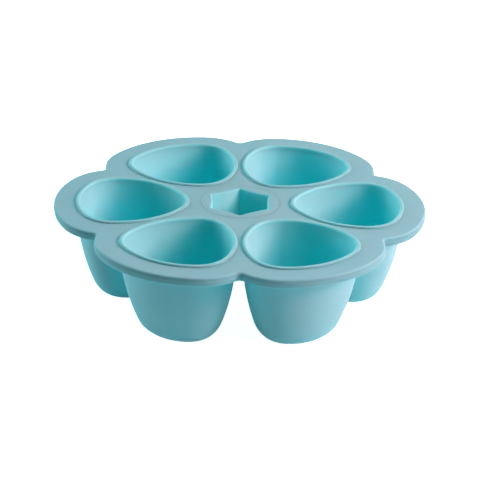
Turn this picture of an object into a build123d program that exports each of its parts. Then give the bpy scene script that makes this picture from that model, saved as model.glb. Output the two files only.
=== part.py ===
from build123d import *
from math import asin, atan2, cos, degrees, pi, radians, sin, sqrt
import os

# Silicone freezer tray: six cups hang through a six-lobed deck round a star-shaped opening.
# All sizes are in millimetres. The cups' feet stand on z = 0, the deck lies on top of them,
# the tray's middle is the origin and +X points through cup_1.
# The mouths, lips, walls, feet and lobes are all one kind of figure: a triangle with bowed
# sides and round corners, as wide in every direction, with one corner towards the tray's middle.

# Tray
CUPS = 6
CUP_HEIGHT = 61.2         # from the surface it stands on to the deck's top face
CUP_GAP = 4.0             # narrowest place between the necks of two neighbours

# Neck, the upright part of a cup in the deck
NECK_WIDTH = 72.4         # outside
NECK_ROUNDNESS = 0.286    # corner radius for each millimetre of width
WALL = 1.8                # the moulding's skin in walls and floors of the cups

# Wall and foot of a cup, below the deck
WALL_BOW = 134.0          # radius of the wall's side view, upright under the deck
FOOT_ROUND = 13.3         # radius between wall and foot, outside
FOOT_ROUNDNESS = 0.34     # as NECK_ROUNDNESS, at the foot
FOOT_SHIFT = 1.9          # the foot's middle lies this much nearer to the tray's middle

# Lip, the bead round a mouth
LIP_WIDTH = 2.9
LIP_HEIGHT = 1.3          # above the deck's top face
LIP_ROUND = 1.2

# Deck
DECK_THICKNESS = 3.0
LOBE_BORDER = 16.15       # how much a lobe is wider than its cup's neck, on each side
LOBE_ROUNDNESS = 0.3286   # as NECK_ROUNDNESS, for a lobe's outline
LOBE_SHIFT = 1.2          # a lobe's middle lies this much nearer to the tray's middle than its neck's
NOTCH_ROUND = 3.5         # hollow radius between two lobes
EDGE_HEIGHT = 5.8         # the turned-down edge, from the deck's top face down
EDGE_WALL = 2.6
EDGE_ROUND = 1.8          # along the top of the edge
EDGE_BOTTOM_ROUND = 0.5

# Star opening and the collar round it
STAR_POINTS = 6
STAR_TIP = 21.6           # middle to a tip
STAR_HOLLOW = 1.0         # how far a side bends inward from the straight line between two tips
STAR_TIP_ROUND = 1.2
STAR_DEPTH = 24.0         # from the deck's top face to the lower end of the star's tube
STAR_WALL = 2.2
STAR_EDGE_ROUND = 1.0     # along the top of the opening
COLLAR_FLAT = 1.3         # from a star tip to the collar's sloping border
COLLAR_SLOPE = 1.7        # width of the sloping border
COLLAR_RISE = 1.2         # above the deck's top face, in the middle
COLLAR_EDGE = 0.4         # above the deck's top face, at the outside of the border

WALL_SECTIONS = 6         # sections of the wall's bow, and of the round at the foot
TURN = 360 / CUPS


def rounded_triangle(width, roundness, middle):
    """Face on z = 0 of the figure, its middle on +X at the distance middle."""
    corner = width * roundness
    side = width - 2 * corner
    inner = (middle - side / sqrt(3), 0)
    left = (middle + side / (2 * sqrt(3)), side / 2)
    right = (left[0], -left[1])
    bow = side + corner
    return make_face([
        CenterArc(inner, bow, -30, 60),
        CenterArc(left, corner, 30, 60),
        CenterArc(right, bow, 90, 60),
        CenterArc(inner, corner, 150, 60),
        CenterArc(left, bow, 210, 60),
        CenterArc(right, corner, 270, 60),
    ])


# Places worked out from the sizes
NECK_CORNER = NECK_WIDTH * NECK_ROUNDNESS
NECK_SIDE = NECK_WIDTH - 2 * NECK_CORNER
CUP_MIDDLE = CUP_GAP + 2 * (NECK_SIDE * (1 - 1 / sqrt(3)) + NECK_CORNER)
MOUTH_WIDTH = NECK_WIDTH - 2 * WALL
LOBE_WIDTH = NECK_WIDTH + 2 * LOBE_BORDER
DECK_UNDERSIDE = CUP_HEIGHT - DECK_THICKNESS
COLLAR_RADIUS = STAR_TIP + COLLAR_FLAT + COLLAR_SLOPE


def wall_profile(skin):
    """Depth below the deck and inset from the neck, down the wall and round the foot.

    skin is 0 for the outside of the cup and WALL for the inside: both share their arcs' centres.
    """
    lean = asin((DECK_UNDERSIDE - FOOT_ROUND) / (WALL_BOW - FOOT_ROUND))
    foot_inset = WALL_BOW - (WALL_BOW - FOOT_ROUND) * cos(lean)
    foot_depth = DECK_UNDERSIDE - FOOT_ROUND
    points = []
    for step in range(WALL_SECTIONS):
        angle = lean * step / WALL_SECTIONS
        radius = WALL_BOW - skin
        points.append((radius * sin(angle), WALL_BOW - radius * cos(angle)))
    for step in range(WALL_SECTIONS + 1):
        angle = lean + (pi / 2 - lean) * step / WALL_SECTIONS
        radius = FOOT_ROUND - skin
        points.append((foot_depth + radius * sin(angle), foot_inset - radius * cos(angle)))
    return points


def cup_body(skin):
    """Solid inside the wall's outer face (skin 0) or its inner face (skin WALL), from foot to deck."""
    sections = []
    for depth, inset in wall_profile(skin):
        share = depth / DECK_UNDERSIDE
        roundness = NECK_ROUNDNESS + (FOOT_ROUNDNESS - NECK_ROUNDNESS) * share
        middle = CUP_MIDDLE - FOOT_SHIFT * share
        figure = rounded_triangle(NECK_WIDTH - 2 * inset, roundness, middle)
        sections.append(Pos(0, 0, DECK_UNDERSIDE - depth) * figure)
    return loft(sections)


def neck(width, bottom, top):
    """Upright solid with the mouth's figure between two heights."""
    figure = rounded_triangle(width, NECK_ROUNDNESS, CUP_MIDDLE)
    return extrude(Pos(0, 0, bottom) * figure, top - bottom)


def make_cup():
    """One cup: foot, bowed wall, neck in the deck and the lip that lies on the deck."""
    lip_top = CUP_HEIGHT + LIP_HEIGHT
    outside = cup_body(0) + neck(NECK_WIDTH, DECK_UNDERSIDE, CUP_HEIGHT)
    lip = neck(MOUTH_WIDTH + 2 * LIP_WIDTH, CUP_HEIGHT, lip_top)
    inside = cup_body(WALL) + neck(MOUTH_WIDTH, DECK_UNDERSIDE, lip_top)
    cup = outside + lip - inside
    crest = cup.edges().filter_by_position(Axis.Z, lip_top - 0.01, lip_top + 0.01)
    return fillet(crest, min(LIP_ROUND, 0.45 * LIP_WIDTH, 0.95 * LIP_HEIGHT))


def deck_outline(inset):
    """Six lobes as one face with rounded notches between them, drawn in by inset all round.

    A lobe shows the figure's outer bow and two corners. A notch's round touches the corners of two
    neighbours and has its middle on the line between them.
    """
    corner = LOBE_WIDTH * LOBE_ROUNDNESS - inset
    side = LOBE_WIDTH * (1 - 2 * LOBE_ROUNDNESS)
    middle = CUP_MIDDLE - LOBE_SHIFT
    inner = (middle - side / sqrt(3), 0)
    left = (middle + side / (2 * sqrt(3)), side / 2)
    right = (left[0], -left[1])
    hollow = NOTCH_ROUND + inset
    line = radians(TURN / 2)
    across = left[0] * sin(line) - left[1] * cos(line)
    along = left[0] * cos(line) + left[1] * sin(line) + sqrt((corner + hollow) ** 2 - across ** 2)
    notch = (along * cos(line), along * sin(line))
    touch = degrees(atan2(notch[1] - left[1], notch[0] - left[0]))
    lobe = [
        CenterArc(right, corner, -touch, touch - 30),
        CenterArc(inner, side + corner, -30, 60),
        CenterArc(left, corner, 30, touch - 30),
        CenterArc(notch, hollow, touch + 180, TURN - 2 * touch),
    ]
    return make_face([Rot(0, 0, TURN * number) * arc for number in range(CUPS) for arc in lobe])


def make_deck():
    """Plate with a turned-down edge, six holes for the necks and one for the collar."""
    edge_bottom = CUP_HEIGHT - EDGE_HEIGHT
    deck = extrude(Pos(0, 0, edge_bottom) * deck_outline(0), EDGE_HEIGHT)
    deck = fillet(deck.faces().sort_by(Axis.Z)[-1].outer_wire().edges(), EDGE_ROUND)
    deck = fillet(deck.faces().sort_by(Axis.Z)[0].outer_wire().edges(), EDGE_BOTTOM_ROUND)
    deck -= extrude(Pos(0, 0, edge_bottom) * deck_outline(EDGE_WALL), EDGE_HEIGHT - DECK_THICKNESS)
    hole = neck(NECK_WIDTH, DECK_UNDERSIDE, CUP_HEIGHT)
    for number in range(CUPS):
        deck -= Rot(0, 0, TURN * number) * hole
    return deck - Pos(0, 0, DECK_UNDERSIDE) * extrude(Circle(COLLAR_RADIUS), DECK_THICKNESS)


def star(tip):
    """Six-pointed star with slightly hollow sides, its tips in line with the notches."""
    turn = 360 / STAR_POINTS
    hollow = tip * cos(radians(turn / 2)) - STAR_HOLLOW
    sides = []
    for number in range(STAR_POINTS):
        start = turn * (number - 0.5)
        sides.append(ThreePointArc(
            (tip * cos(radians(start)), tip * sin(radians(start))),
            (hollow * cos(radians(start + turn / 2)), hollow * sin(radians(start + turn / 2))),
            (tip * cos(radians(start + turn)), tip * sin(radians(start + turn))),
        ))
    outline = Sketch() + make_face(sides)
    return fillet(outline.vertices(), STAR_TIP_ROUND)


def make_centre_star():
    """Collar in the middle of the deck with the star opening, and the tube below it."""
    opening = star(STAR_TIP)
    tube_bottom = CUP_HEIGHT - STAR_DEPTH
    slope_bottom = CUP_HEIGHT + COLLAR_EDGE
    top = CUP_HEIGHT + COLLAR_RISE
    collar = Pos(0, 0, DECK_UNDERSIDE) * extrude(Circle(COLLAR_RADIUS), slope_bottom - DECK_UNDERSIDE)
    rise = top - slope_bottom
    collar += Pos(0, 0, slope_bottom + rise / 2) * Cone(COLLAR_RADIUS, COLLAR_RADIUS - COLLAR_SLOPE, rise)
    tube = Pos(0, 0, tube_bottom) * extrude(offset(opening, STAR_WALL), DECK_UNDERSIDE - tube_bottom)
    centre = collar + tube - Pos(0, 0, tube_bottom) * extrude(opening, top - tube_bottom)
    edge = centre.faces().sort_by(Axis.Z)[-1].inner_wires()[0].edges()
    return fillet(edge, min(STAR_EDGE_ROUND, 0.8 * COLLAR_FLAT))


os.makedirs("parts", exist_ok=True)
export_step(make_deck(), "parts/deck.step")
export_step(make_centre_star(), "parts/centre_star.step")
cup = make_cup()
for number in range(CUPS):
    export_step(Rot(0, 0, TURN * number) * cup, f"parts/cup_{number + 1}.step")

cavity = cup_body(WALL) + neck(MOUTH_WIDTH, DECK_UNDERSIDE, CUP_HEIGHT + LIP_HEIGHT)
print("one cup holds", round(cavity.volume / 1000), "ml to the brim")
print("reach", round(deck_outline(0).bounding_box().max.X, 2))
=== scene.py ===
"""Silicone freezer tray: a scalloped deck, six tapering cups with raised lips and a star opening."""

import math

import bmesh
import bpy
import numpy as np
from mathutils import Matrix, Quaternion, Vector


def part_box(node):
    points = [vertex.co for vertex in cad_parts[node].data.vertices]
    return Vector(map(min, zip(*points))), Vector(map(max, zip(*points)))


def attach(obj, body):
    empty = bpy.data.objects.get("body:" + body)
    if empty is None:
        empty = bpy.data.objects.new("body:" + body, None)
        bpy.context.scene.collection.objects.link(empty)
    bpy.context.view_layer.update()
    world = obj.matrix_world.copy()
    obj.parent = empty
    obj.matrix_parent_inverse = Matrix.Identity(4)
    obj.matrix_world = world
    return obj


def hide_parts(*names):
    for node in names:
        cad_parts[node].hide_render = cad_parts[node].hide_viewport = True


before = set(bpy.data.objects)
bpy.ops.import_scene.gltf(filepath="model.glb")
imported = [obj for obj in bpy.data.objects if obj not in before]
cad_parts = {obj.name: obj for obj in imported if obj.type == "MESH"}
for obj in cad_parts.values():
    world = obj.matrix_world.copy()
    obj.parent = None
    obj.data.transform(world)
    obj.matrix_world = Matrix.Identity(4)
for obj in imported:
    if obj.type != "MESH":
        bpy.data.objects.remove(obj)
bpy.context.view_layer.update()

MM = 0.001

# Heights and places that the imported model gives, in metres
deck_low, deck_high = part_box("deck")
cup_low, cup_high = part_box("cup_1")
DECK_TOP = deck_high.z
EDGE_BOTTOM = deck_low.z
LIP_TOP = cup_high.z
LIP_REACH = cup_high.x
LIP_OUTER_WIDTH = cup_high.y - cup_low.y
TUBE_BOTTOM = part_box("centre_star")[0].z

# Cups: the mouths, walls, feet and lobes are triangles of constant width with round corners
CUPS = 6
TURN = 360 / CUPS         # in degrees, from one cup to the next
WALL = 1.8 * MM
WALL_BOW = 134.0 * MM     # radius of the wall's side view
NECK_ROUNDNESS = 0.286    # corner radius as a share of the width
FOOT_ROUNDNESS = 0.34     # the same at the foot
FOOT_SHIFT = 1.9 * MM     # the foot's middle lies this much nearer to the tray's middle
FOOT_ROUND = 13.3 * MM    # radius between wall and foot, outside

# Lips
LIP_WIDTH = 2.9 * MM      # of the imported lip, which gives the mouth's width
LIP_FOOT = 2.4 * MM       # outer foot of the lip that shows, from the neck's inner face
LIP_EDGE = -0.4 * MM      # its inner edge, a little inside the neck's inner face
LIP_OUTER_ROUND = 1.2 * MM
LIP_INNER_ROUND = 1.1 * MM
LIP_FOOT_DEPTH = 0.15 * MM    # the foot starts this much under the deck's top
LIP_ROOT_DEPTH = 0.6 * MM     # below the foot the skin goes on into the deck, out of sight
LIP_ROOT_INSET = 0.4 * MM
MOUTH_WIDTH = LIP_OUTER_WIDTH - 2 * LIP_WIDTH
NECK_WIDTH = MOUTH_WIDTH + 2 * WALL

# A lip's width and corner, and how far it reaches along X, give the distance of a cup's middle
LIP_SIDE = LIP_OUTER_WIDTH * (1 - 2 * NECK_ROUNDNESS)
LIP_CORNER = LIP_OUTER_WIDTH * NECK_ROUNDNESS
CUP_MIDDLE = LIP_REACH - LIP_SIDE * (1 - 1 / math.sqrt(3)) - LIP_CORNER

# Deck
DECK_THICKNESS = 3.0 * MM
DECK_UNDERSIDE = DECK_TOP - DECK_THICKNESS
LOBE_BORDER = 16.15 * MM  # how much a lobe is wider than its cup's neck, on each side
LOBE_WIDTH = NECK_WIDTH + 2 * LOBE_BORDER
LOBE_ROUNDNESS = 0.3286
LOBE_SHIFT = 1.2 * MM     # a lobe's middle lies this much nearer to the tray's middle than its cup's
NOTCH_ROUND = 3.5 * MM    # hollow radius between two lobes
EDGE_WALL = 2.6 * MM
RIM_TOP_INSET = 1.4 * MM  # the round along the deck's top starts this much inside its outline
RIM_TOP_ROUND = 1.2 * MM
RIM_TOP_BAND = 0.4 * MM   # narrow flat band next to the round

# Star opening, its tube and the collar round it
STAR_POINTS = 6
STAR_MIDDLE = (0.0, 2.1 * MM)     # a little behind the tray's middle
STAR_TIP = 21.6 * MM      # middle to a tip
STAR_HOLLOW = 1.0 * MM    # how far a side bends inward from the straight line between two tips
STAR_TIP_ROUND = 1.2 * MM
STAR_WALL = 2.2 * MM
STAR_EDGE_ROUND = 1.0 * MM
STAR_BAND = 2.0 * MM      # from the collar's top to the first ring below the opening's soft edge
TUBE_END_ROUND = 0.4 * MM
COLLAR_REACH = 26.2 * MM
COLLAR_INSIDE = STAR_TIP + 0.9 * MM   # the collar is level from here inward
COLLAR_RISE = 0.2 * MM
RING_RADIUS = 24.9 * MM
RING_WIDTH = 1.3 * MM
RING_RISE = 0.18 * MM

# Painted light and shade on the silicone, one value kept on each point of the meshes: 0 is a plain outer
# wall,
# 1 a painted glow on an edge, standing for light that gets in from all round, and below 0 painted shade that
# turns the colour greyer, down to -1
INSIDE_PAINTED_GLOW = 0.21        # inner faces of the cups, painted paler for light that comes through the wall
# Painted shade at the lip's foot, and painted highlights on its crest and inner edge
LIP_FOOT_PAINTED_SHADE = -0.9
LIP_CREST_PAINTED_LIGHT = 0.3
LIP_EDGE_PAINTED_LIGHT = 0.5
RIM_PAINTED_HIGHLIGHT = 0.15           # painted highlight on the upper half of the round along the deck's edge, at its palest
# painted light on the star opening's edge and down the tube's inner wall
STAR_PAINTED_LIGHT = 0.5

# Down a cup from its lip: share of the way to the deck's underside, painted light
LIP_INSIDE = ((0.2, LIP_CREST_PAINTED_LIGHT), (0.6, INSIDE_PAINTED_GLOW), (1.0, INSIDE_PAINTED_GLOW))

# Side of the deck's edge, with a fine parting line: inset and depth in millimetres, painted light; the side
# is painted shade, left plain at the parting line, with a painted highlight along the bottom edge
RIM_SIDE = ((0.16, 2.60, -1.0), (0.08, 2.75, -1.0), (0.0, 2.85, 0.0), (0.0, 2.95, 0.0), (0.16, 3.10, -1.0),
            (0.36, 5.30, -0.7), (0.42, 5.50, 0.2), (0.52, 5.68, 0.4), (0.80, 5.80, 0.0))

# Fineness of the meshes
ARC_STEPS = 18            # each of a rounded triangle's six arcs
ROUND_STEPS = 8           # a quarter round
WALL_STEPS = 14
FOOT_STEPS = 12
FLOOR_SHARES = (0.35, 0.7)    # rings on a cup's flat floor, as shares of its outline
LOBE_BOW_STEPS = 26       # half of a lobe's outer bow
LOBE_CORNER_STEPS = 16
NOTCH_STEPS = 10          # half of a notch
CIRCLE_STEPS = 96
COLLAR_STEPS = 36
STAR_SIDE_STEPS = 20
STAR_TIP_STEPS = 12
MERGE_DISTANCE = 0.0001 * MM
SHARP_ANGLE = 35          # in degrees: a steeper edge is shaded as sharp


# Mesh helpers

def turn(points, degrees):
    """Points turned about the Z axis; further columns stay as they are."""
    angle = math.radians(degrees)
    turned = np.array(points, float)
    x, y = turned[:, 0].copy(), turned[:, 1].copy()
    turned[:, 0] = x * math.cos(angle) - y * math.sin(angle)
    turned[:, 1] = x * math.sin(angle) + y * math.cos(angle)
    return turned


def repeat_round(sector, count):
    """An outline made of count equal sectors about the origin."""
    return np.concatenate([turn(sector, 360 / count * number) for number in range(count)])


def arc(centre, radius, start, stop, steps, with_end=False):
    """(n, 2) points of an arc between two angles in degrees, by default without the last one."""
    count = steps + 1 if with_end else steps
    angles = np.radians(np.linspace(start, stop, count, endpoint=with_end))
    return np.column_stack([centre[0] + radius * np.cos(angles), centre[1] + radius * np.sin(angles)])


def corner_middles(side, middle):
    """Middles of a rounded triangle's three corners: the one towards the origin, the left, the right."""
    outer = middle + side / math.sqrt(12)
    return (middle - side / math.sqrt(3), 0.0), (outer, side / 2), (outer, -side / 2)


def rounded_triangle(width, roundness, middle):
    """Outline of constant width with bowed sides, one corner towards the origin: (n, 2) points."""
    corner = width * roundness
    side = width - 2 * corner
    bow = side + corner
    inner, left, right = corner_middles(side, middle)
    arcs = ((inner, bow, -30), (left, corner, 30), (right, bow, 90),
            (inner, corner, 150), (left, bow, 210), (right, corner, 270))
    return np.concatenate([arc(centre, radius, start, start + 60, ARC_STEPS)
                           for centre, radius, start in arcs])


def at_height(outline, height, painted_light_and_shade=0.0):
    """Ring from a flat outline: columns x, y, height and painted light, which is painted shade below 0."""
    count = len(outline)
    return np.column_stack([outline, np.full(count, height), np.full(count, painted_light_and_shade)])


def skin_rings(rings):
    """Vertices and quads of a tube through rings of equal length."""
    count = len(rings[0])
    faces = []
    for ring in range(len(rings) - 1):
        low, high = ring * count, (ring + 1) * count
        for step in range(count):
            after = (step + 1) % count
            faces.append((low + step, low + after, high + after, high + step))
    return np.concatenate(rings), faces


def fill_between(outlines, height):
    """Triangles of a flat face between an outer outline and its holes, as vertices and faces."""
    made = bmesh.new()
    edges = []
    for outline in outlines:
        corners = [made.verts.new((x, y, height)) for x, y in outline]
        for index, corner in enumerate(corners):
            edges.append(made.edges.new((corner, corners[(index + 1) % len(corners)])))
    bmesh.ops.triangle_fill(made, use_beauty=True, use_dissolve=False, edges=edges, normal=(0, 0, 1))
    made.verts.index_update()
    vertices = np.array([(*vertex.co, 0.0) for vertex in made.verts])
    faces = [tuple(vertex.index for vertex in face.verts) for face in made.faces]
    made.free()
    return vertices, faces


def join(parts):
    """Several pairs of vertices and faces as one."""
    faces = []
    total = 0
    for part_vertices, part_faces in parts:
        faces += [tuple(index + total for index in face) for face in part_faces]
        total += len(part_vertices)
    return np.concatenate([part_vertices for part_vertices, _ in parts]), faces


def mesh_piece(name, vertices, faces):
    """Object from vertices with painted light and shade as their fourth number: merged, facing outward,
    shaded smooth.
    """
    mesh = bpy.data.meshes.new(name)
    mesh.from_pydata(vertices[:, :3].tolist(), [], faces)
    painted_light_and_shade = mesh.attributes.new("painted_light_and_shade", "FLOAT", "POINT")
    painted_light_and_shade.data.foreach_set("value", vertices[:, 3].tolist())
    made = bmesh.new()
    made.from_mesh(mesh)
    bmesh.ops.remove_doubles(made, verts=made.verts, dist=MERGE_DISTANCE)
    bmesh.ops.recalc_face_normals(made, faces=made.faces)
    made.to_mesh(mesh)
    made.free()
    mesh.polygons.foreach_set("use_smooth", [True] * len(mesh.polygons))
    mesh.set_sharp_from_angle(angle=math.radians(SHARP_ANGLE))
    piece = bpy.data.objects.new(name, mesh)
    bpy.context.scene.collection.objects.link(piece)
    return piece


def quarter_round():
    """(across, along) shares of a quarter round, from its first tangent to its last."""
    angles = [math.pi / 2 * step / ROUND_STEPS for step in range(ROUND_STEPS + 1)]
    return [(1 - math.cos(angle), math.sin(angle)) for angle in angles]


# Cups

def cup_ring(inset, depth, painted_light_and_shade):
    """Ring of a cup's wall at a depth below the deck and an inset from the neck."""
    share = depth / DECK_UNDERSIDE
    roundness = NECK_ROUNDNESS + (FOOT_ROUNDNESS - NECK_ROUNDNESS) * share
    middle = CUP_MIDDLE - FOOT_SHIFT * share
    outline = rounded_triangle(NECK_WIDTH - 2 * inset, roundness, middle)
    return at_height(outline, DECK_UNDERSIDE - depth, painted_light_and_shade)


def wall_rings(skin, painted_light_and_shade=0.0):
    """Rings down the bowed wall and round the foot; skin is how deep they lie in from the outer face."""
    foot_depth = DECK_UNDERSIDE - FOOT_ROUND
    lean = math.asin(foot_depth / (WALL_BOW - FOOT_ROUND))
    foot_inset = WALL_BOW - (WALL_BOW - FOOT_ROUND) * math.cos(lean)
    rings = []
    radius = WALL_BOW - skin
    for step in range(WALL_STEPS):
        angle = lean * step / WALL_STEPS
        rings.append(cup_ring(WALL_BOW - radius * math.cos(angle), radius * math.sin(angle), painted_light_and_shade))
    radius = FOOT_ROUND - skin
    for step in range(FOOT_STEPS + 1):
        angle = lean + (math.pi / 2 - lean) * step / FOOT_STEPS
        inset = foot_inset - radius * math.cos(angle)
        rings.append(cup_ring(inset, foot_depth + radius * math.sin(angle), painted_light_and_shade))
    return rings


def shrink(ring, share):
    """The ring drawn towards its own middle, for a flat floor."""
    middle = ring.mean(axis=0)
    return middle + (ring - middle) * share


def neck_ring(offset, height, painted_light_and_shade=0.0):
    """Ring round the mouth, offset outward from the neck's inner face."""
    outline = rounded_triangle(MOUTH_WIDTH + 2 * offset, NECK_ROUNDNESS, CUP_MIDDLE)
    return at_height(outline, height, painted_light_and_shade)


def lip_rings():
    """Rings over the lip: out of the deck at its foot, over the crest and down into the cup."""
    # The lip's foot is painted darker as shade, and its crest and inner edge paler as painted highlights.
    rings = [neck_ring(LIP_FOOT - LIP_ROOT_INSET, DECK_TOP - LIP_ROOT_DEPTH),
             neck_ring(LIP_FOOT, DECK_TOP - LIP_FOOT_DEPTH, LIP_FOOT_PAINTED_SHADE)]
    for across, along in quarter_round():
        painted_light_and_shade = LIP_CREST_PAINTED_LIGHT * across + LIP_FOOT_PAINTED_SHADE * (1 - across) ** 2
        height = LIP_TOP - LIP_OUTER_ROUND * (1 - along)
        rings.append(neck_ring(LIP_FOOT - LIP_OUTER_ROUND * across, height, painted_light_and_shade))
    for across, along in quarter_round():
        painted_light_and_shade = LIP_CREST_PAINTED_LIGHT + (LIP_EDGE_PAINTED_LIGHT - LIP_CREST_PAINTED_LIGHT) * along
        offset = LIP_EDGE + LIP_INNER_ROUND * (1 - along)
        rings.append(neck_ring(offset, LIP_TOP - LIP_INNER_ROUND * across, painted_light_and_shade))
    low = LIP_TOP - LIP_INNER_ROUND
    for share, painted_light_and_shade in LIP_INSIDE:
        rings.append(neck_ring(LIP_EDGE * (1 - share) ** 2, low + (DECK_UNDERSIDE - low) * share, painted_light_and_shade))
    return rings


def make_cup(number):
    """One cup as a closed shell, from the middle of its foot outside to the middle of its floor inside."""
    outside = wall_rings(0.0)[::-1]
    # The inner faces are painted paler, standing for light through the wall.
    inside = wall_rings(WALL, INSIDE_PAINTED_GLOW)
    rings = [shrink(outside[0], share) for share in FLOOR_SHARES] + outside
    rings.append(neck_ring(WALL, DECK_TOP - DECK_THICKNESS / 2))
    rings += lip_rings()
    rings += inside[1:]
    rings += [shrink(inside[-1], share) for share in FLOOR_SHARES[::-1]]
    vertices, faces = skin_rings(rings)
    count = len(rings[0])
    last = len(vertices) - count
    faces.append(tuple(range(count))[::-1])
    faces.append(tuple(range(last, last + count)))
    return mesh_piece(f"moulded_cup_{number + 1}", turn(vertices, TURN * number), faces)


# Deck

def lobe_outline(inset):
    """Six lobes joined by rounded notches, drawn in by inset: (n, 2) points, as many for every inset.

    A lobe shows its figure's outer bow and two corners. A notch's round touches the corners of two
    neighbours and has its middle on the line between them.
    """
    corner = LOBE_WIDTH * LOBE_ROUNDNESS - inset
    side = LOBE_WIDTH * (1 - 2 * LOBE_ROUNDNESS)
    inner, left, _ = corner_middles(side, CUP_MIDDLE - LOBE_SHIFT)
    hollow = NOTCH_ROUND + inset
    line = (math.cos(math.radians(TURN / 2)), math.sin(math.radians(TURN / 2)))
    across = left[1] * line[0] - left[0] * line[1]
    along = left[0] * line[0] + left[1] * line[1] + math.sqrt((corner + hollow) ** 2 - across ** 2)
    notch = (along * line[0], along * line[1])
    touch = math.degrees(math.atan2(notch[1] - left[1], notch[0] - left[0]))
    half = np.concatenate([
        arc(inner, side + corner, 0, 30, LOBE_BOW_STEPS),
        arc(left, corner, 30, touch, LOBE_CORNER_STEPS),
        arc(notch, hollow, touch + 180, TURN / 2 + 180, NOTCH_STEPS, with_end=True),
    ])
    mirrored = half[1:-1][::-1] * (1, -1)
    return repeat_round(np.concatenate([mirrored, half]), CUPS)


def rim_rings():
    """Rings over the deck's edge: the round on top, its side with the parting line, the bottom edge."""
    rings = [at_height(lobe_outline(RIM_TOP_INSET + RIM_TOP_BAND), DECK_TOP)]
    for across, along in quarter_round():
        # Painted highlight on the round's upper half, turning to painted shade down to the side.
        painted_light_and_shade = RIM_PAINTED_HIGHLIGHT * math.sin(math.pi * min(1.0, 2 * across)) - across
        outline = lobe_outline(RIM_TOP_INSET - RIM_TOP_ROUND * along)
        rings.append(at_height(outline, DECK_TOP - RIM_TOP_ROUND * across, painted_light_and_shade))
    for inset, depth, painted_light_and_shade in RIM_SIDE:
        rings.append(at_height(lobe_outline(inset * MM), DECK_TOP - depth * MM, painted_light_and_shade))
    return rings


def collar_circle(radius):
    """Circle round the star's middle: (n, 2) points."""
    return arc(STAR_MIDDLE, radius, 0, 360, CIRCLE_STEPS)


def make_deck():
    """Plate with a turned-down edge; the cups' necks and the collar fill its holes."""
    rim = rim_rings()
    inside = lobe_outline(EDGE_WALL)
    rim += [at_height(inside, EDGE_BOTTOM), at_height(inside, DECK_UNDERSIDE)]
    neck = rounded_triangle(NECK_WIDTH, NECK_ROUNDNESS, CUP_MIDDLE)
    holes = [turn(neck, TURN * number) for number in range(CUPS)] + [collar_circle(COLLAR_REACH)]
    parts = [skin_rings(rim)]
    for hole in holes:
        parts.append(skin_rings([at_height(hole, DECK_TOP), at_height(hole, DECK_UNDERSIDE)]))
    parts.append(fill_between([rim[0][:, :2]] + holes, DECK_TOP))
    parts.append(fill_between([inside] + holes, DECK_UNDERSIDE))
    return mesh_piece("moulded_deck", *join(parts))


# Collar and star

def star_outline(offset):
    """Star with hollow sides and rounded tips, offset outward: (n, 2) points.

    A tip's round touches two neighbouring sides from inside the star and has its middle on the line
    to the tip.
    """
    half_turn = 180 / STAR_POINTS
    half = math.radians(half_turn)
    chord = STAR_TIP * math.sin(half)
    bow = (chord ** 2 + STAR_HOLLOW ** 2) / (2 * STAR_HOLLOW)
    side_middle = (STAR_TIP * math.cos(half) - STAR_HOLLOW + bow, 0.0)
    reach = math.sqrt((bow + STAR_TIP_ROUND) ** 2 - (side_middle[0] * math.sin(half)) ** 2)
    along = side_middle[0] * math.cos(half) - reach
    tip_middle = (along * math.cos(half), along * math.sin(half))
    touch = math.degrees(math.atan2(tip_middle[1], tip_middle[0] - side_middle[0]))
    side = arc(side_middle, bow - offset, 360 - touch, touch, STAR_SIDE_STEPS, with_end=True)
    start = touch - 180
    tip = arc(tip_middle, STAR_TIP_ROUND + offset, start, 2 * half_turn - start, STAR_TIP_STEPS)
    return repeat_round(np.concatenate([side, tip[1:]]), STAR_POINTS) + STAR_MIDDLE


def make_star():
    """Low collar with a fine ring, the star opening with a soft edge, and the tube below it."""
    top = DECK_TOP + COLLAR_RISE
    outer = [at_height(collar_circle(COLLAR_REACH), DECK_UNDERSIDE)]
    for step in range(COLLAR_STEPS + 1):
        share = step / COLLAR_STEPS
        radius = COLLAR_REACH + (COLLAR_INSIDE - COLLAR_REACH) * share
        slope = COLLAR_RISE * share * share * (3 - 2 * share)
        beside = min(1.0, abs(radius - RING_RADIUS) / (RING_WIDTH / 2))
        ring = RING_RISE * math.cos(math.pi / 2 * beside) ** 2
        outer.append(at_height(collar_circle(radius), DECK_TOP + slope + ring))
    inner = []
    # The opening's edge and the tube's inner wall are painted paler, as painted light.
    for across, along in quarter_round():
        outline = star_outline(STAR_EDGE_ROUND * (1 - along))
        inner.append(at_height(outline, top - STAR_EDGE_ROUND * across, STAR_PAINTED_LIGHT * math.sqrt(along)))
    tube = (
        (0.0, top - STAR_BAND, STAR_PAINTED_LIGHT),
        (0.0, TUBE_BOTTOM + TUBE_END_ROUND, STAR_PAINTED_LIGHT),
        (TUBE_END_ROUND, TUBE_BOTTOM, 0.0),
        (STAR_WALL - TUBE_END_ROUND, TUBE_BOTTOM, 0.0),
        (STAR_WALL, TUBE_BOTTOM + TUBE_END_ROUND, 0.0),
        (STAR_WALL, DECK_UNDERSIDE, 0.0),
    )
    for offset, height, painted_light_and_shade in tube:
        inner.append(at_height(star_outline(offset), height, painted_light_and_shade))
    parts = [skin_rings(outer), skin_rings(inner)]
    parts.append(fill_between([outer[-1][:, :2], inner[0][:, :2]], top))
    parts.append(fill_between([outer[0][:, :2], inner[-1][:, :2]], DECK_UNDERSIDE))
    return mesh_piece("moulded_star", *join(parts))


# Materials

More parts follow.
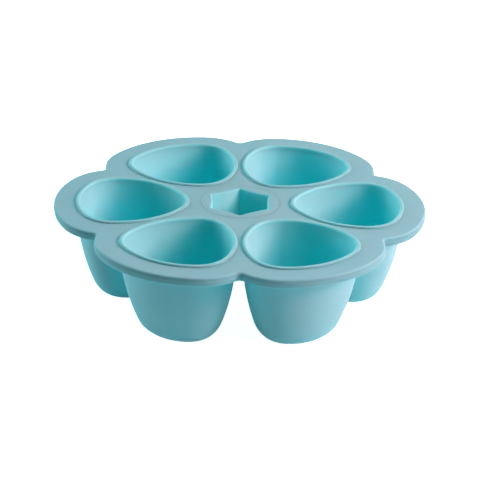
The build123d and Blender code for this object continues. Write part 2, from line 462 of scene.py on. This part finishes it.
class Shade:
    """A node socket that can be added, multiplied and so on, in one node tree."""

    def __init__(self, tree, socket=None):
        self.tree = tree
        self.socket = socket

    def node(self, kind, settings=None, **inputs):
        """A new node of this tree: its settings first, then values or links for its sockets.

        A socket is named by its name, or by i and its number.
        """
        made = self.tree.nodes.new(kind)
        for name, value in (settings or {}).items():
            setattr(made, name, value)
        for name, value in inputs.items():
            socket = made.inputs[int(name[1:]) if name[1:].isdigit() else name]
            if isinstance(value, Shade):
                self.tree.links.new(value.socket, socket)
            else:
                socket.default_value = value
        return made

    def out(self, output, kind, settings=None, **inputs):
        """One output of a new node of this tree."""
        return Shade(self.tree, self.node(kind, settings, **inputs).outputs[output])

    def math(self, operation, first, second):
        """Result of a Math node."""
        return self.out(0, "ShaderNodeMath", {"operation": operation}, i0=first, i1=second)

    def blend(self, share, first, second):
        """Colour between first and second."""
        return self.out(2, "ShaderNodeMix", {"data_type": "RGBA"}, i0=share, i6=first, i7=second)

    def feed(self, shader, name):
        """Link this value to a socket of the shader."""
        self.tree.links.new(self.socket, shader.inputs[name])

    def __add__(self, other):
        return self.math("ADD", self, other)

    def __mul__(self, other):
        return self.math("MULTIPLY", self, other)

    def __sub__(self, other):
        return self.math("SUBTRACT", self, other)

    def __rsub__(self, other):
        return self.math("SUBTRACT", other, self)

    __radd__ = __add__
    __rmul__ = __mul__


def new_material(name):
    """A material, its shader and a Shade of its tree to build on."""
    material = bpy.data.materials.new(name)
    material.use_nodes = True
    return material, material.node_tree.nodes["Principled BSDF"], Shade(material.node_tree)


SILICONE = (0.36, 0.585, 0.66, 1.0)
SILICONE_CLOUD = (0.34, 0.565, 0.64, 1.0)
SILICONE_PAINTED_GLOW = (0.42, 0.87, 0.94, 1.0)      # painted light: the pale colour of edges and inner faces, for light that gets in from all round
SILICONE_PAINTED_SHADE = (0.235, 0.44, 0.50, 1.0)    # painted shade where the painted value is below 0: the deck's edge, the lips' feet
SILICONE_DEPTH = (0.0, 0.98, 1.0, 1.0)       # light that has already been in the walls is purer turquoise
SILICONE_IOR = 1.41
SUBSURFACE_WEIGHT = 0.75
SUBSURFACE_RADIUS = (0.3, 1.0, 1.0)
SUBSURFACE_SCALE = 4.2 * MM
CLOUD_SCALE = 38.0        # soft patches a few centimetres wide
CLOUD_DETAIL = 3.0
GRAIN_SCALE = 2600.0      # dusty grain, well under a millimetre
GRAIN_DETAIL = 2.0
GRAIN_HEIGHT = 0.05 * MM
GRAIN_STRENGTH = 0.06
SILICONE_ROUGHNESS = 0.66
GRAIN_ROUGHNESS = 0.10    # what grain and clouds add to it at most
CLOUD_ROUGHNESS = 0.04


def silicone_material():
    """Matt turquoise silicone: a pale dusty surface over a body that colours the light it passes on, with
    painted light on edges and inner faces and painted shade on the deck's edge and the lips' feet.
    """
    material, shader, base = new_material("turquoise_silicone")
    place = base.out("Object", "ShaderNodeTexCoord")
    cloud = base.out("Fac", "ShaderNodeTexNoise", Vector=place, Scale=CLOUD_SCALE, Detail=CLOUD_DETAIL)
    grain = base.out("Fac", "ShaderNodeTexNoise", Vector=place, Scale=GRAIN_SCALE, Detail=GRAIN_DETAIL)
    # The base colour is painted paler where the value on the mesh is above 0, and darker as painted shade
    # where it is below 0.
    painted_light_and_shade = base.out("Fac", "ShaderNodeAttribute", {"attribute_name": "painted_light_and_shade"})
    body = base.blend(cloud, SILICONE_CLOUD, SILICONE)
    surface = base.blend(painted_light_and_shade, base.blend(0 - painted_light_and_shade, body, SILICONE_PAINTED_SHADE), SILICONE_PAINTED_GLOW)
    between_walls = base.out("Is Diffuse Ray", "ShaderNodeLightPath")
    colour = base.blend(between_walls, surface, SILICONE_DEPTH)
    colour.feed(shader, "Base Color")
    rough = SILICONE_ROUGHNESS + grain * GRAIN_ROUGHNESS + cloud * CLOUD_ROUGHNESS
    rough.feed(shader, "Roughness")
    bump = base.out("Normal", "ShaderNodeBump", Strength=GRAIN_STRENGTH, Distance=GRAIN_HEIGHT, Height=grain)
    bump.feed(shader, "Normal")
    shader.inputs["IOR"].default_value = SILICONE_IOR
    shader.inputs["Subsurface Weight"].default_value = SUBSURFACE_WEIGHT
    shader.inputs["Subsurface Radius"].default_value = SUBSURFACE_RADIUS
    shader.inputs["Subsurface Scale"].default_value = SUBSURFACE_SCALE
    return material


# Stage, lights and camera

WARM = (1.0, 0.68, 0.685)
PALE = (0.75, 1.0, 1.0)
COOL = (0.42, 0.98, 1.0)
AMBER = (1.0, 0.4, 0.36)
LAMP_AIM = (0.0, 0.0, 0.05)


def face(thing, place, aim):
    """Puts a lamp or camera at a place, facing a point."""
    thing.location = place
    thing.rotation_mode = "QUATERNION"
    thing.rotation_quaternion = (Vector(aim) - Vector(place)).to_track_quat("-Z", "Y")
    bpy.context.scene.collection.objects.link(thing)


def studio_lamp(name, azimuth, elevation, distance, side, watts, colour):
    """Square lamp aimed at the tray: azimuth 0 is the camera's side and 90 the right, in degrees."""
    lamp = bpy.data.lights.new(name, "AREA")
    lamp.shape = "SQUARE"
    lamp.size = side
    lamp.energy = watts
    lamp.color = colour
    around, up = math.radians(azimuth), math.radians(elevation)
    direction = (math.sin(around) * math.cos(up), -math.cos(around) * math.cos(up), math.sin(up))
    face(bpy.data.objects.new(name, lamp), distance * Vector(direction), LAMP_AIM)


def make_lights():
    """Warm key on the right with pale fills, large cool fills behind, and a low amber lamp on the left."""
    studio_lamp("key_right", azimuth=75, elevation=27, distance=1.2, side=0.4, watts=12.3, colour=WARM)
    studio_lamp("key_high", azimuth=75, elevation=45, distance=1.6, side=0.6, watts=4.4, colour=PALE)
    studio_lamp("key_front", azimuth=55, elevation=30, distance=2.6, side=0.9, watts=9.0, colour=PALE)
    studio_lamp("back_left", azimuth=242, elevation=24, distance=2.6, side=1.6, watts=46.0, colour=COOL)
    studio_lamp("low_left", azimuth=262, elevation=9, distance=2.6, side=1.0, watts=13.0, colour=AMBER)
    studio_lamp("back_right", azimuth=150, elevation=25, distance=2.6, side=1.6, watts=9.9, colour=COOL)


BLACK = (0.0, 0.0, 0.0, 1.0)
WHITE = (1.0, 1.0, 1.0, 1.0)
FLOOR_HALF = 3.0
FLOOR_COLOUR = (0.92, 0.92, 0.92, 1.0)
FLOOR_BOUNCE = (0.54, 0.88, 0.9, 1.0)        # the tray's own colour tints what the floor sends back
FLOOR_GLOW = 0.97         # what the camera sees on top of the lamps' light, so that the floor is white
FLOOR_ROUGHNESS = 0.9


def seen_or_mirrored(base):
    """1 on rays from the camera and on glossy or clear rays, 0 on the rays that carry diffuse light."""
    path = base.node("ShaderNodeLightPath")
    seen, glossy, clear = (Shade(base.tree, path.outputs[f"Is {kind} Ray"])
                           for kind in ("Camera", "Glossy", "Transmission"))
    return base.math("MAXIMUM", seen, base.math("MAXIMUM", glossy, clear))


def make_world():
    """Surroundings that are white to the camera and in reflections; the lamps alone light the tray."""
    world = bpy.data.worlds.new("studio")
    world.use_nodes = True
    background = world.node_tree.nodes["Background"]
    background.inputs["Color"].default_value = WHITE
    seen_or_mirrored(Shade(world.node_tree)).feed(background, "Strength")
    bpy.context.scene.world = world


def make_floor():
    """Pale floor, white to the camera except where the tray shades it."""
    half = FLOOR_HALF
    mesh = bpy.data.meshes.new("floor")
    mesh.from_pydata([(-half, -half, 0), (half, -half, 0), (half, half, 0), (-half, half, 0)], [],
                     [(0, 1, 2, 3)])
    floor = bpy.data.objects.new("floor", mesh)
    bpy.context.scene.collection.objects.link(floor)
    material, shader, base = new_material("pale_floor")
    seen = seen_or_mirrored(base)
    base.blend(seen, FLOOR_BOUNCE, FLOOR_COLOUR).feed(shader, "Base Color")
    base.blend(seen, BLACK, WHITE).feed(shader, "Emission Color")
    shader.inputs["Emission Strength"].default_value = FLOOR_GLOW
    shader.inputs["Roughness"].default_value = FLOOR_ROUGHNESS
    floor.data.materials.append(material)


CAMERA_PLACE = (-0.0117, -1.2367, 0.6052)
CAMERA_AIM = (0.0006, 0.0, 0.0349)
CAMERA_ROLL = 1.40        # in degrees
CAMERA_LENS = 156.96      # in millimetres, for the sensor's width
SENSOR_WIDTH = 36.0


def make_camera():
    """Long lens from the front, about 25 degrees above the table, as in the photograph."""
    camera = bpy.data.objects.new("camera", bpy.data.cameras.new("camera"))
    camera.data.sensor_width = SENSOR_WIDTH
    camera.data.lens = CAMERA_LENS
    face(camera, CAMERA_PLACE, CAMERA_AIM)
    camera.rotation_quaternion @= Quaternion((0, 0, 1), math.radians(CAMERA_ROLL))
    bpy.context.scene.camera = camera


# Assembly

silicone = silicone_material()
pieces = {"deck": make_deck(), "centre_star": make_star()}
for number in range(CUPS):
    pieces[f"cup_{number + 1}"] = make_cup(number)
for node, piece in pieces.items():
    piece.data.materials.append(silicone)
    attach(piece, "root")
    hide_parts(node)

make_floor()
make_world()
make_lights()
make_camera()
bpy.context.scene.view_settings.view_transform = "Standard"
